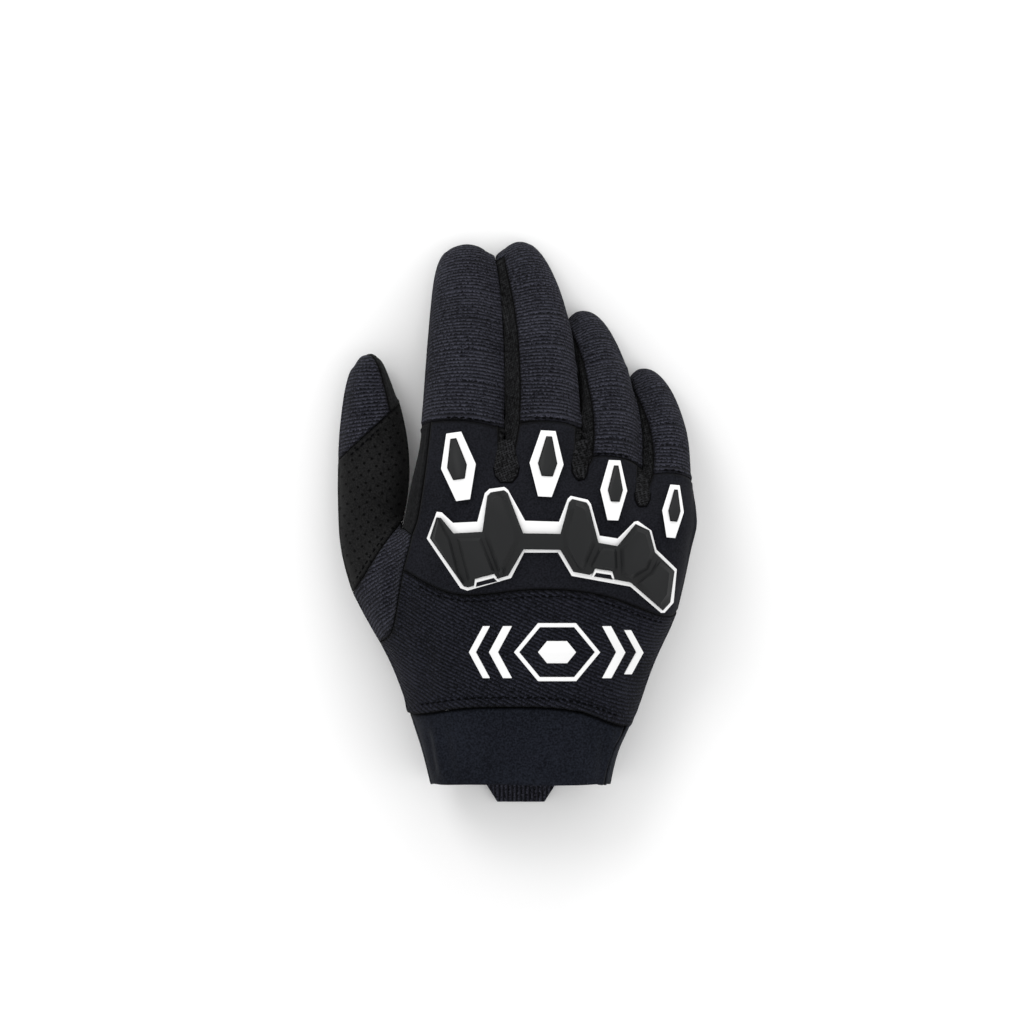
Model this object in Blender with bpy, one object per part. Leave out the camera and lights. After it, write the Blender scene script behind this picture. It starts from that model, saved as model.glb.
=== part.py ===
"""A right-hand motocross glove lying palm down, filled as if a relaxed hand were in it.

+Y runs from the cuff to the fingertips, +X from the thumb to the little finger, and +Z out of the back of the
hand. The soft shell is one smooth skin, cut into sewn panels with a wall thickness each. The rubber guards are
cut out of layers that follow that skin. All sizes are in metres.
"""

import math
from collections import namedtuple

import bmesh
import bpy
from mathutils import Vector
from mathutils.bvhtree import BVHTree
from mathutils.geometry import delaunay_2d_cdt, intersect_point_line

# Shell
WALL = 0.0016  # thickness of the sewn panels
SEAM = 0.0003  # clearance between neighbouring pieces
HAND_LENGTH = 0.111  # cuff hem to the crotch beside the index finger
HAND_WIDTH = 0.105  # across the roots of the four fingers
HAND_HEIGHT = 0.056  # surface to the top of the knuckles
FINGER_LENGTH = 0.101  # of the middle finger, along its curl from its root
CUFF_WIDTH = 0.068
CUFF_HEIGHT = 0.044
FLOOR_WALL = 0.9  # thickness left where the shell is flattened on the surface, as a share of WALL
SQUARENESS = 2.5  # exponent of the body's oval sections, 2 for an ellipse
SEAM_LINE = 0.90  # where the top seams lie, as a share of the half width
CROTCH_DIP = 0.0045  # how far the skin dips between two fingers
FOURCHETTE_DROP = 0.003  # how far the middle of a crotch lies behind its two ends
SHARP_ANGLE = 35.0  # edges sharper than this, in degrees, are shaded as creases
MITRE_LIMIT = 0.35  # keeps the corners of a panel's rim from moving too far

# Thumb
THUMB_LENGTH = 0.111  # from the lower end of its opening to its tip
THUMB_REACH = 0.0665  # from the hand's centre line to its outer side
THUMB_DEPTH = 0.030

# Pull tab
TAB_WIDTH = 0.027
TAB_END_WIDTH = 0.0175
TAB_PROUD = 0.0075  # how far it shows past the hem
TAB_HELD = 0.008  # how far it reaches into the cuff
TAB_THICKNESS = 0.0014

# Rubber guards
GUARD_MARGIN = 0.0135  # how much narrower the knuckle guard is than the hand
GUARD_LENGTH = 0.0461
GUARD_ACROSS = 0.1286  # its middle from the hand's centre line, towards the little finger, as a share of HAND_WIDTH
GUARD_ALONG = 0.7775  # its middle from the cuff's hem, as a share of HAND_LENGTH
GUARD_PLATE = 0.0016  # thickness of the white plate
SHELL_PLATE = 0.0012  # thickness of the dark shell between its facets
SHELL_REACH = 0.0004  # how far the dark shell reaches past its table's outline
FACET_HEIGHT = 0.0024  # how far a full facet stands above the dark shell's plate
FACET_DRAFT = 0.0013  # how far a full facet's sides lean in
FRAME_LENGTH = 0.025  # of the index finger's guard
FRAME_HEIGHT = 0.0018
INSERT_HEIGHT = 0.0026
PATCH_MARGIN = 0.009  # how far past an outline the layer reaches that a guard is cut from
PATCH_RISE = 0.1  # least upward share of a skin face's normal in such a layer
OUTLINE_MITRE = 0.6  # keeps the sharp corners of an outline from moving too far
PLAN_MERGE = 0.00002  # points of the faceted shell's plan closer than this become one
CUT_HEIGHT = 0.09  # height of the prisms that cut the guards out

Row = namedtuple("Row", "name along left right top bottom")
Finger = namedtuple("Finger", "name width depth taper length prong height curl start end roll")
Section = namedtuple("Section", "along width depth")
ThumbSection = namedtuple("ThumbSection", "inner_along outer_along inner_out outer_out height depth")
FingerGuard = namedtuple("FingerGuard", "width length across along turn lean")
Facet = namedtuple("Facet", "name height draft outline")

# Rows of the body, from the hem to the finger roots. along is a share of HAND_LENGTH. left and right are shares
# of HAND_WIDTH from the centre line, or of CUFF_WIDTH on the two rows of the cuff, and top and bottom are
# shares of HAND_HEIGHT or CUFF_HEIGHT.
CUFF_ROWS = (
    Row("hem", 0.00, -0.475, 0.540, 1.00, -0.06),
    Row("cuff", 0.12, -0.520, 0.575, 1.01, -0.06),
)
BODY_ROWS = (
    Row("lap", 0.24, -0.385, 0.440, 0.80, -0.05),
    Row("wrist", 0.35, -0.425, 0.480, 0.83, -0.05),
    Row("heel", 0.46, -0.480, 0.530, 0.88, -0.04),
    Row("seam", 0.65, -0.450, 0.590, 0.96, 0.04),
    Row("crotch", 0.83, -0.412, 0.625, 1.02, 0.20),
    Row("knuckle", 0.92, -0.400, 0.650, 1.04, 0.30),
    Row("web", 1.00, -0.384, 0.662, 1.00, 0.38),
)
# How far the skin dips between the fingers on some rows, in shares of CROTCH_DIP
ROW_DIPS = {"web": 1.0, "knuckle": 0.45}
# How far the nine points across the back of some rows lie from the row, thumb side first, in shares of HAND_LENGTH
BACK_SHIFT = {
    "lap": (-0.02, 0.02, 0.03, 0.03, 0.03, 0.02, 0.00, -0.05, -0.09),
    "seam": (0.12, -0.03, -0.02, 0.01, 0.01, 0.00, -0.03, -0.08, -0.13),
    "crotch": (0.00, -0.05, -0.05, -0.04, -0.04, -0.05, -0.07, -0.09, -0.10),
    "knuckle": (0.00, 0.00, 0.00, 0.00, 0.00, -0.02, -0.06, -0.08, -0.10),
    "web": (0.00, 0.02, -0.045, 0.03, -0.020, -0.01, -0.115, -0.09, -0.12),
}
ULNAR_SHIFT = {"seam": -0.10, "crotch": -0.08, "knuckle": -0.08, "web": -0.12}

# width is a share of HAND_WIDTH, and depth and height of HAND_HEIGHT. length runs from the root to the tip and
# prong from the root to the finger back's seam, both shares of FINGER_LENGTH. height is the root's centre above
# the surface, curl the mean dip, start and end the heading at the root and the tip, in degrees towards the thumb,
# and roll turns the thumb side up. taper is the power that the sections' shares are raised to
FINGER_SHARES = (
    Finger("index", 0.2819, 0.4821, 1.50, 0.9525, 0.2267, 0.6696, 19.9, -3.3, 3.5, 2.0),
    Finger("middle", 0.2524, 0.4643, 1.90, 1.0000, 0.2347, 0.6964, 20.8, -3.0, 26.0, 18.0),
    Finger("ring", 0.2057, 0.4018, 1.40, 0.7970, 0.1317, 0.6518, 25.1, -4.0, 42.0, 22.0),
    Finger("little", 0.1714, 0.3482, 1.30, 0.6356, 0.1436, 0.5714, 28.0, -4.0, 46.0, 24.0),
)
FINGERS = tuple(
    f._replace(
        width=f.width * HAND_WIDTH, depth=f.depth * HAND_HEIGHT, height=f.height * HAND_HEIGHT,
        length=f.length * FINGER_LENGTH, prong=f.prong * FINGER_LENGTH,
    )
    for f in FINGER_SHARES
)
# along runs from the finger back's seam to the tip, and width and depth are shares of the finger's own
SECTIONS = (
    Section(0.00, 1.00, 1.00),
    Section(0.24, 1.02, 1.02),
    Section(0.48, 0.97, 0.96),
    Section(0.72, 0.92, 0.91),
    Section(0.91, 0.82, 0.80),
    Section(0.99, 0.60, 0.54),
)
BACK_SPREAD, SIDE_ANGLE, FRONT_ANGLE = 60.0, 100.0, 140.0  # where the seams lie round a finger, from its top
ROOT_DIP, DIP_GROWTH, DIP_POWER = 0.25, 1.5, 0.9  # how a finger's curl grows from its root to its tip
PATH_STEPS = 60  # straight steps in a finger's centre line

# The thumb's sections. along is a share of THUMB_LENGTH from the opening's lower end, out a share of THUMB_REACH
# from the centre line, height the centre's height as a share of THUMB_DEPTH, and depth a share of THUMB_DEPTH.
THUMB_SECTIONS = (
    ThumbSection(0.400, 0.172, 0.640, 0.930, 0.56, 1.02),
    ThumbSection(0.500, 0.350, 0.590, 0.985, 0.50, 0.98),
    ThumbSection(0.640, 0.480, 0.570, 0.990, 0.46, 0.94),
    ThumbSection(0.820, 0.600, 0.640, 0.990, 0.415, 0.86),
    ThumbSection(0.900, 0.790, 0.690, 0.975, 0.37, 0.74),
    ThumbSection(0.965, 0.925, 0.745, 0.920, 0.33, 0.52),
)
THUMB_TIP = ThumbSection(1.000, 1.000, 0.835, 0.835, 0.31, 0.0)
OVERLAY_SPANS = range(0, 3)  # the spans between thumb sections that the perforated suede covers

# One guard on each finger's root. width is a share of the finger's, length one of FRAME_LENGTH, across one of the
# finger's width from its root's middle, along one of its prong past the root, turn the tilt towards the thumb in
# degrees, and lean how far the insert lies towards the little finger, as a share of the guard's half width
FINGER_GUARDS = (
    FingerGuard(0.434, 1.000, -0.015, 0.33, 8.0, -0.08),
    FingerGuard(0.470, 0.968, 0.080, 0.40, -3.0, 0.06),
    FingerGuard(0.456, 0.880, 0.085, 0.285, -2.0, 0.12),
    FingerGuard(0.443, 0.776, 0.135, 0.145, -5.0, 0.12),
)
# Outlines of the finger guards, in shares of the guard's half width and half length
FRAME_OUTLINE = ((-0.43, 1.0), (0.43, 1.0), (1.0, 0.0), (0.40, -1.0), (-0.40, -1.0), (-1.0, 0.0))
INSERT_OUTLINE = ((-0.16, 0.83), (0.18, 0.83), (0.57, 0.02), (0.34, -0.38), (-0.32, -0.38), (-0.57, 0.0))

# Outlines of the knuckle guard's plate and shell, in shares of its width and length from its middle
PLATE_OUTLINE = (
    (-0.460, 0.303), (-0.440, 0.298), (-0.395, 0.215), (-0.298, 0.224), (-0.268, 0.450), (-0.250, 0.484),
    (-0.190, 0.500), (-0.175, 0.476), (-0.107, 0.232), (0.028, 0.224), (0.063, 0.406), (0.075, 0.429),
    (0.143, 0.398), (0.155, 0.366), (0.190, 0.114), (0.262, 0.091), (0.329, 0.224), (0.343, 0.230),
    (0.397, 0.154), (0.417, 0.004), (0.500, -0.154), (0.488, -0.420), (0.452, -0.500), (0.437, -0.500),
    (0.313, -0.290), (0.079, -0.205), (0.024, -0.020), (-0.111, -0.020), (-0.163, -0.222), (-0.337, -0.322),
    (-0.365, -0.303), (-0.500, 0.091),
)
SHELL_OUTLINE = (
    (-0.483, 0.096), (-0.458, 0.250), (-0.445, 0.246), (-0.395, 0.123), (-0.274, 0.136), (-0.254, 0.425),
    (-0.242, 0.449), (-0.192, 0.465), (-0.180, 0.446), (-0.118, 0.124), (0.037, 0.120), (0.072, 0.375),
    (0.082, 0.395), (0.135, 0.369), (0.144, 0.342), (0.182, 0.050), (0.263, 0.022), (0.335, 0.196),
    (0.385, 0.149), (0.408, -0.024), (0.486, -0.172), (0.470, -0.415), (0.444, -0.470), (0.316, -0.250),
    (0.242, -0.222), (0.228, -0.184), (0.167, -0.164), (0.149, -0.188), (0.088, -0.165), (0.036, 0.010),
    (-0.116, 0.014), (-0.177, -0.195), (-0.217, -0.219), (-0.240, -0.206), (-0.308, -0.256), (-0.316, -0.277),
    (-0.334, -0.288), (-0.350, -0.280),
)
# The shell's raised facets, from the thumb side. height is a share of FACET_HEIGHT, draft one of FACET_DRAFT, and
# the outline's points are shares as above
FACETS = (
    Facet("wing", 0.80, 0.75, (
        (-0.455, 0.252), (-0.430, 0.167), (-0.406, 0.089), (-0.370, -0.190), (-0.356, -0.273),
        (-0.481, 0.089),
    )),
    Facet("inner", 0.60, 0.90, (
        (-0.380, 0.096), (-0.283, 0.099), (-0.225, -0.185), (-0.241, -0.185), (-0.311, -0.238),
        (-0.335, -0.259),
    )),
    Facet("spike", 1.00, 1.35, (
        (-0.252, 0.414), (-0.236, 0.449), (-0.198, 0.462), (-0.183, 0.433), (-0.136, 0.129),
        (-0.132, 0.069), (-0.179, -0.108), (-0.194, -0.206), (-0.210, -0.214), (-0.266, 0.089),
        (-0.269, 0.143),
    )),
    Facet("tooth", 1.00, 1.35, (
        (0.077, 0.366), (0.093, 0.393), (0.137, 0.361), (0.151, 0.321), (0.178, 0.068), (0.139, -0.110),
        (0.124, -0.163), (0.093, -0.163), (0.047, 0.012), (0.045, 0.113),
    )),
    Facet("step", 0.60, 0.80, (
        (0.190, 0.027), (0.259, 0.010), (0.262, -0.185), (0.238, -0.171), (0.228, -0.161), (0.167, -0.145),
        (0.148, -0.150),
    )),
    Facet("ridge", 0.90, 1.20, (
        (0.337, 0.188), (0.388, 0.148), (0.411, -0.017), (0.384, -0.153), (0.318, -0.233), (0.277, -0.206),
        (0.271, 0.017),
    )),
    Facet("end", 0.80, 1.10, (
        (0.423, -0.070), (0.486, -0.171), (0.475, -0.363), (0.439, -0.467), (0.330, -0.251),
        (0.393, -0.177),
    )),
)

KNIT = (0.018, 0.018, 0.026, 1.0)
SUEDE = (0.022, 0.021, 0.019, 1.0)
MESH = (0.030, 0.030, 0.030, 1.0)
RUBBER = (0.030, 0.031, 0.031, 1.0)
WHITE = (0.85, 0.85, 0.85, 1.0)
CLOTH_ROUGHNESS, RUBBER_ROUGHNESS, WHITE_ROUGHNESS = 0.8, 0.6, 0.45
PANEL_COLOURS = {"palm": SUEDE, "thumb_pad": SUEDE, "thumb_overlay": SUEDE}


def smoothing(points):
    """How much larger a ring of control points is than the smooth ring that it gives."""
    return 1 / (0.75 + 0.25 * math.cos(2 * math.pi / points))


class Cage:
    """The control mesh of the whole skin: points, and faces with the name of their panel."""

    def __init__(self):
        self.points, self.faces, self.panels = [], [], []

    def point(self, place):
        self.points.append(Vector(place))
        return len(self.points) - 1

    def ring(self, places):
        return [self.point(p) for p in places]

    def face(self, corners, panel):
        self.faces.append(tuple(corners))
        self.panels.append(panel)


def column_shares():
    """Where the nine points across the back lie, from -1 to 1, which gives each finger a root as wide as it is."""
    total = sum(f.width for f in FINGERS)
    edges = [0.0]
    for f in FINGERS:
        edges += [edges[-1] + f.width / total / 2, edges[-1] + f.width / total]
    return [SEAM_LINE * (2 * e - 1) for e in edges]


def row_points(row, width, height):
    """The 20 points of a body row: nine across the back, the ulnar side, nine across the palm, the thumb side."""
    left, right = row.left * width, row.right * width
    centre, half = (left + right) / 2, (right - left) / 2
    top, bottom = row.top * height, row.bottom * height
    middle = (top + bottom) / 2
    back_shift = BACK_SHIFT.get(row.name, (0.0,) * 9)
    ulnar_shift = ULNAR_SHIFT.get(row.name, 0.0)
    dips = ROW_DIPS.get(row.name, 0.0)
    back, front = [], []
    for k, share in enumerate(column_shares()):
        rise = (1 - abs(share) ** SQUARENESS) ** (1 / SQUARENESS)
        dip = dips * CROTCH_DIP if k in (2, 4, 6) else 0.0
        x = centre + half * share
        y = row.along * HAND_LENGTH
        back.append((x, y + back_shift[k] * HAND_LENGTH, middle + (top - middle) * rise - dip))
        front_y = y + (back_shift[k] * HAND_LENGTH if row.name in ("web", "knuckle") else 0.0)
        front.append((x, front_y, middle - (middle - bottom) * rise + dip))
    ulnar = (right, (row.along + ulnar_shift) * HAND_LENGTH, middle)
    thumb_side = (left, row.along * HAND_LENGTH, middle)
    return back + [ulnar] + front[::-1] + [thumb_side]


def body_panel(span, column):
    """The panel of a body face: span counts from the hem, column runs round from the thumb side of the back."""
    if span < len(CUFF_ROWS):
        return "cuff_back" if column <= 7 or column == 19 else "cuff_palm"
    if column == 19:
        return "back_panel" if span <= 3 else "palm"
    if column <= 8:
        return "back_panel" if span <= 4 else "knuckle_panel"
    return "palm"


def build_body(cage):
    rows = [cage.ring(row_points(r, CUFF_WIDTH, CUFF_HEIGHT)) for r in CUFF_ROWS]
    rows += [cage.ring(row_points(r, HAND_WIDTH, HAND_HEIGHT)) for r in BODY_ROWS]
    for span in range(len(rows) - 1):
        for column in range(20):
            if span in (4, 5) and column in (18, 19):
                continue  # the thumb's opening
            a, b = rows[span][column], rows[span][(column + 1) % 20]
            c, d = rows[span + 1][(column + 1) % 20], rows[span + 1][column]
            cage.face((a, b, c, d), body_panel(span, column))
    return rows


def crotch_points(cage, web):
    """The middle points of the three crotches, between the back's point and the front's."""
    found = []
    for k in (2, 4, 6):
        back, front = cage.points[web[k]], cage.points[web[18 - k]]
        middle = (back + front) / 2
        middle.y -= FOURCHETTE_DROP
        found.append(cage.point(middle))
    return found


def finger_axes(finger, share):
    """The finger's own directions, ahead and sideways, at a share of its length."""
    heading = math.radians(finger.start + (finger.end - finger.start) * share**2)
    dip = math.radians(finger.curl * (ROOT_DIP + DIP_GROWTH * share**DIP_POWER))
    side = Vector((math.cos(heading), math.sin(heading), 0.0))
    return Vector((-side.y * math.cos(dip), side.x * math.cos(dip), -math.sin(dip))), side


def finger_path(finger, root):
    """A function that gives a point of the finger's centre line and its side and top from the length along it."""
    points = [Vector(root)]
    for k in range(PATH_STEPS):
        ahead = finger_axes(finger, (k + 0.5) / PATH_STEPS)[0]
        points.append(points[-1] + ahead * finger.length / PATH_STEPS)

    def at(length):
        share = min(max(length / finger.length, 0.0), 1.0)
        k = min(int(share * PATH_STEPS), PATH_STEPS - 1)
        place = points[k].lerp(points[k + 1], share * PATH_STEPS - k)
        ahead, side = finger_axes(finger, share)
        up = side.cross(ahead)
        roll = math.radians(finger.roll)
        return place, side * math.cos(roll) - up * math.sin(roll), up * math.cos(roll) + side * math.sin(roll)

    return at


def ring_places(place, side, up, width, depth):
    """The eight points of a finger's ring: three on its back from the left, then round its right and front."""
    across, rise = side * width * smoothing(8) / 2, up * depth * smoothing(8) / 2
    angles = (-BACK_SPREAD, 0.0, BACK_SPREAD, SIDE_ANGLE, FRONT_ANGLE, 180.0, -FRONT_ANGLE, -SIDE_ANGLE)
    return [place + across * math.sin(math.radians(a)) + rise * math.cos(math.radians(a)) for a in angles]


def side_panel(number, right, on_prong):
    """The panels of a finger's side, upper half first. The backs reach round the outer sides and the right ones."""
    back = FINGERS[number].name + "_back"
    if number == 0 and not right:
        return "palm" if on_prong else back, "palm"
    if number == 3 and right:
        return "knuckle_panel" if on_prong else back, "palm"
    first = number if right else number - 1
    name = f"fourchette_{FINGERS[first].name}_{FINGERS[first + 1].name}"
    return name if on_prong or not right else back, name


def finger_panels(number, span):
    """The panels of the eight faces round a finger. Span 0 lies on its prong, and -1 is the last before the tip."""
    back = "knuckle_panel" if span == 0 else FINGERS[number].name + "_back"
    right, left = side_panel(number, True, span == 0), side_panel(number, False, span == 0)
    if span == -1:
        right = left = (back, "palm")
    return (back, back, right[0], right[1], "palm", "palm", left[1], left[0])


def close_tip(cage, ring, tip, panels):
    """Four faces over the end of an eight-point ring, and their panels."""
    for k, panel in zip((0, 2, 4, 6), panels, strict=True):
        cage.face((ring[k], ring[k + 1], ring[(k + 2) % 8], tip), panel)


def join_rings(cage, first, second, panels):
    for k in range(8):
        cage.face((first[k], first[(k + 1) % 8], second[(k + 1) % 8], second[k]), panels[k])


def build_fingers(cage, web):
    """Adds the fingers and returns the middles of their roots."""
    crotches = crotch_points(cage, web)
    sides = [web[19], *crotches, web[9]]
    roots = []
    for number, finger in enumerate(FINGERS):
        k = 2 * number
        root_ring = [web[k], web[k + 1], web[k + 2], sides[number + 1]]
        root_ring += [web[16 - k], web[17 - k], web[18 - k], sides[number]]
        root = sum((cage.points[p] for p in root_ring), Vector()) / 8
        root.z = finger.height
        roots.append(root)
        at = finger_path(finger, root)
        ring = root_ring
        free = finger.length - finger.prong
        for span, section in enumerate(SECTIONS):
            place, side, up = at(finger.prong + section.along * free)
            width = section.width**finger.taper * finger.width
            depth = section.depth**finger.taper * finger.depth
            places = ring_places(place, side, up, width, depth)
            following = cage.ring(places)
            last = span == len(SECTIONS) - 1
            join_rings(cage, ring, following, finger_panels(number, -1 if last else span))
            ring = following
        tip = cage.point(at(finger.length)[0])
        back = finger.name + "_back"
        close_tip(cage, ring, tip, (back, back, "palm", back))
    return roots


def thumb_ring(section):
    """The eight points of a thumb section: three on its top from the outside, then round its inner side."""
    start = BODY_ROWS[2].along * HAND_LENGTH
    inner = Vector((-section.inner_out * THUMB_REACH, start + section.inner_along * THUMB_LENGTH, 0.0))
    outer = Vector((-section.outer_out * THUMB_REACH, start + section.outer_along * THUMB_LENGTH, 0.0))
    centre = (inner + outer) / 2
    centre.z = section.height * THUMB_DEPTH
    across = (inner - outer) / 2 * smoothing(8)
    rise = Vector((0, 0, section.depth * THUMB_DEPTH / 2 * smoothing(8)))
    angles = (135, 90, 45, 0, -45, -90, -135, 180)
    return [centre + across * math.cos(math.radians(a)) + rise * math.sin(math.radians(a)) for a in angles]


def thumb_panels(span):
    if span in OVERLAY_SPANS:
        upper = ("thumb_overlay", "thumb_overlay", "thumb_overlay")
    else:
        upper = ("thumb_back", "thumb_back", "thumb_pad")
    outer = "thumb_overlay" if span in OVERLAY_SPANS else "thumb_back"
    return (*upper, "thumb_pad", "thumb_pad", "thumb_pad", "thumb_pad", outer)


def build_thumb(cage, rows):
    low, middle, high = rows[4], rows[5], rows[6]
    ring = [low[0], middle[0], high[0], high[19], high[18], middle[18], low[18], low[19]]
    root_panels = ("thumb_gusset", "thumb_gusset", "thumb_gusset", "palm", "palm", "palm", "palm", "thumb_gusset")
    for span, section in enumerate(THUMB_SECTIONS):
        following = cage.ring(thumb_ring(section))
        join_rings(cage, ring, following, root_panels if span == 0 else thumb_panels(span - 1))
        ring = following
    tip = cage.point(sum(thumb_ring(THUMB_TIP), Vector()) / 8)
    close_tip(cage, ring, tip, ("thumb_back", "thumb_pad", "thumb_pad", "thumb_back"))


def smooth_skin(cage):
    """The skin, smoothed once and flattened where it rests, and the panel names that its material indices count."""
    names = sorted(set(cage.panels))
    mesh = bpy.data.meshes.new("skin")
    mesh.from_pydata(cage.points, [], cage.faces)
    mesh.polygons.foreach_set("material_index", [names.index(p) for p in cage.panels])
    guide = bpy.data.objects.new("skin_guide", mesh)
    bpy.context.scene.collection.objects.link(guide)
    modifier = guide.modifiers.new("smooth", "SUBSURF")
    modifier.levels = modifier.render_levels = 1
    smooth = guide.evaluated_get(bpy.context.evaluated_depsgraph_get()).to_mesh()
    skin = bmesh.new()
    skin.from_mesh(smooth)
    bpy.data.objects.remove(guide)
    for v in skin.verts:
        v.co.z = max(v.co.z, 0.0)
    bmesh.ops.triangulate(skin, faces=skin.faces[:])
    skin.normal_update()
    skin.verts.index_update()
    return skin, names


def rim_shifts(faces):
    """For each vertex on the rim of a set of faces, the step that moves the rim inwards by half a seam."""
    chosen, shifts = set(faces), {}
    for face in faces:
        for edge in face.edges:
            others = [f for f in edge.link_faces if f is not face]
            if not others or others[0] in chosen:
                continue
            along = (edge.verts[1].co - edge.verts[0].co).normalized()
            inward = face.normal.cross(along)
            if inward.dot(face.calc_center_median() - edge.verts[0].co) < 0:
                inward.negate()
            for v in edge.verts:
                shifts.setdefault(v, []).append(inward)
    steps = {}
    for v, inwards in shifts.items():
        total = sum(inwards, Vector())
        mean = total / len(inwards)
        steps[v] = mean / max(mean.length_squared, MITRE_LIMIT) * SEAM / 2
    return steps


def layer(faces, low, high, shifts):
    """A closed solid between two offsets of a set of faces, high being the outer one."""
    solid, top, bottom = bmesh.new(), {}, {}
    for face in faces:
        for v in face.verts:
            if v not in top:
                place = v.co + shifts.get(v, Vector())
                top[v] = solid.verts.new(place + v.normal * high)
                bottom[v] = solid.verts.new(place + v.normal * low)
                if low < 0:
                    bottom[v].co.z = max(bottom[v].co.z, -low * FLOOR_WALL)
    chosen = set(faces)
    for face in faces:
        solid.faces.new([top[v] for v in face.verts])
        solid.faces.new([bottom[v] for v in reversed(face.verts)])
        for loop in face.loops:
            others = [f for f in loop.edge.link_faces if f is not face and f in chosen]
            if not others:
                a, b = loop.vert, loop.link_loop_next.vert
                if a.index < b.index:  # both sides of a seam get the same diagonal
                    solid.faces.new((bottom[a], bottom[b], top[b]))
                    solid.faces.new((bottom[a], top[b], top[a]))
                else:
                    solid.faces.new((bottom[a], bottom[b], top[a]))
                    solid.faces.new((bottom[b], top[b], top[a]))
    return solid


def material(name, colour, roughness):
    found = bpy.data.materials.new(name)
    found.use_nodes = True
    shader = found.node_tree.nodes["Principled BSDF"]
    shader.inputs["Base Color"].default_value = colour
    shader.inputs["Roughness"].default_value = roughness
    shader.inputs["Metallic"].default_value = 0.0
    found.diffuse_color = colour
    return found


def add_object(name, solid, colour=None, roughness=CLOTH_ROUGHNESS):
    """A named object from a bmesh, or a hidden guide where no colour is given."""
    mesh = bpy.data.meshes.new(name)
    solid.to_mesh(mesh)
    solid.free()
    made = bpy.data.objects.new(name, mesh)
    bpy.context.scene.collection.objects.link(made)
    if colour:
        mesh.shade_smooth()
        mesh.set_sharp_from_angle(angle=math.radians(SHARP_ANGLE))
        mesh.materials.append(material(name + "_material", colour, roughness))
    else:
        made.hide_render = True
        made.display_type = "WIRE"
    return made


def combine(made, operation, other):
    modifier = made.modifiers.new(other.name, "BOOLEAN")
    modifier.operation = operation
    modifier.solver = "EXACT"
    modifier.object = other


def shrunk(outline, distance):
    """An outline moved inwards by a distance. Its points run clockwise, seen from above."""
    moved = []
    for k, here in enumerate(outline):
        before, after = outline[k - 1], outline[(k + 1) % len(outline)]
        first, second = (here - before).normalized(), (after - here).normalized()
        inward = Vector((first.y, -first.x)) + Vector((second.y, -second.x))
        moved.append(here + inward / max(inward.length_squared / 2, OUTLINE_MITRE) * distance)
    return moved


def prism(outline, base=0.0, top=CUT_HEIGHT):
    """A closed prism over an outline."""
    solid = bmesh.new()
    low = [solid.verts.new((p.x, p.y, base)) for p in outline]
    high = [solid.verts.new((p.x, p.y, top)) for p in outline]
    solid.faces.new(low)
    solid.faces.new(high[::-1])
    for k in range(len(low)):
        solid.faces.new((low[k - 1], high[k - 1], high[k], low[k]))
    bmesh.ops.recalc_face_normals(solid, faces=solid.faces)
    return solid


def offset_tree(faces, distance):
    """A set of faces moved outwards, to cast rays at, with its plan and the edges in it."""
    verts = list({v: None for face in faces for v in face.verts})
    places = [v.co + v.normal * distance for v in verts]
    number = {v: k for k, v in enumerate(verts)}
    edges = list({e: None for face in faces for e in face.edges})
    tree = BVHTree.FromPolygons(places, [[number[v] for v in face.verts] for face in faces])
    return tree, [p.xy for p in places], [(number[e.verts[0]], number[e.verts[1]]) for e in edges]


def height_at(tree, place):
    return tree.ray_cast(Vector((place.x, place.y, CUT_HEIGHT)), Vector((0, 0, -1)))[0].z


def is_inside(place, outline):
    """Whether a place lies in an outline, by counting the edges to one side of it."""
    crossed = False
    for k, b in enumerate(outline):
        a = outline[k - 1]
        if (a.y > place.y) != (b.y > place.y) and place.x < a.x + (place.y - a.y) / (b.y - a.y) * (b.x - a.x):
            crossed = not crossed
    return crossed


def distance_to(place, outline):
    """The distance from a place to the nearest edge of an outline."""
    found = []
    for k, b in enumerate(outline):
        a = outline[k - 1]
        near, share = intersect_point_line(place, a, b)
        near = a if share < 0 else b if share > 1 else near
        found.append((place - near.xy).length)
    return min(found)


def flat_top(outline, tree, rise):
    """A function that gives the height of the flat plane over an outline, a rise above the surface under it."""
    heights = [height_at(tree, p) for p in outline]
    middle = sum(outline, Vector((0, 0))) / len(outline)
    offsets = [p - middle for p in outline]
    xx, yy = sum(o.x * o.x for o in offsets), sum(o.y * o.y for o in offsets)
    xy = sum(o.x * o.y for o in offsets)
    xz = sum(o.x * z for o, z in zip(offsets, heights, strict=True))
    yz = sum(o.y * z for o, z in zip(offsets, heights, strict=True))
    determinant = xx * yy - xy * xy
    slope = Vector(((xz * yy - yz * xy) / determinant, (yz * xx - xz * xy) / determinant))
    level = sum(heights) / len(heights) + rise
    return lambda place: level + slope.dot(place - middle)


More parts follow.
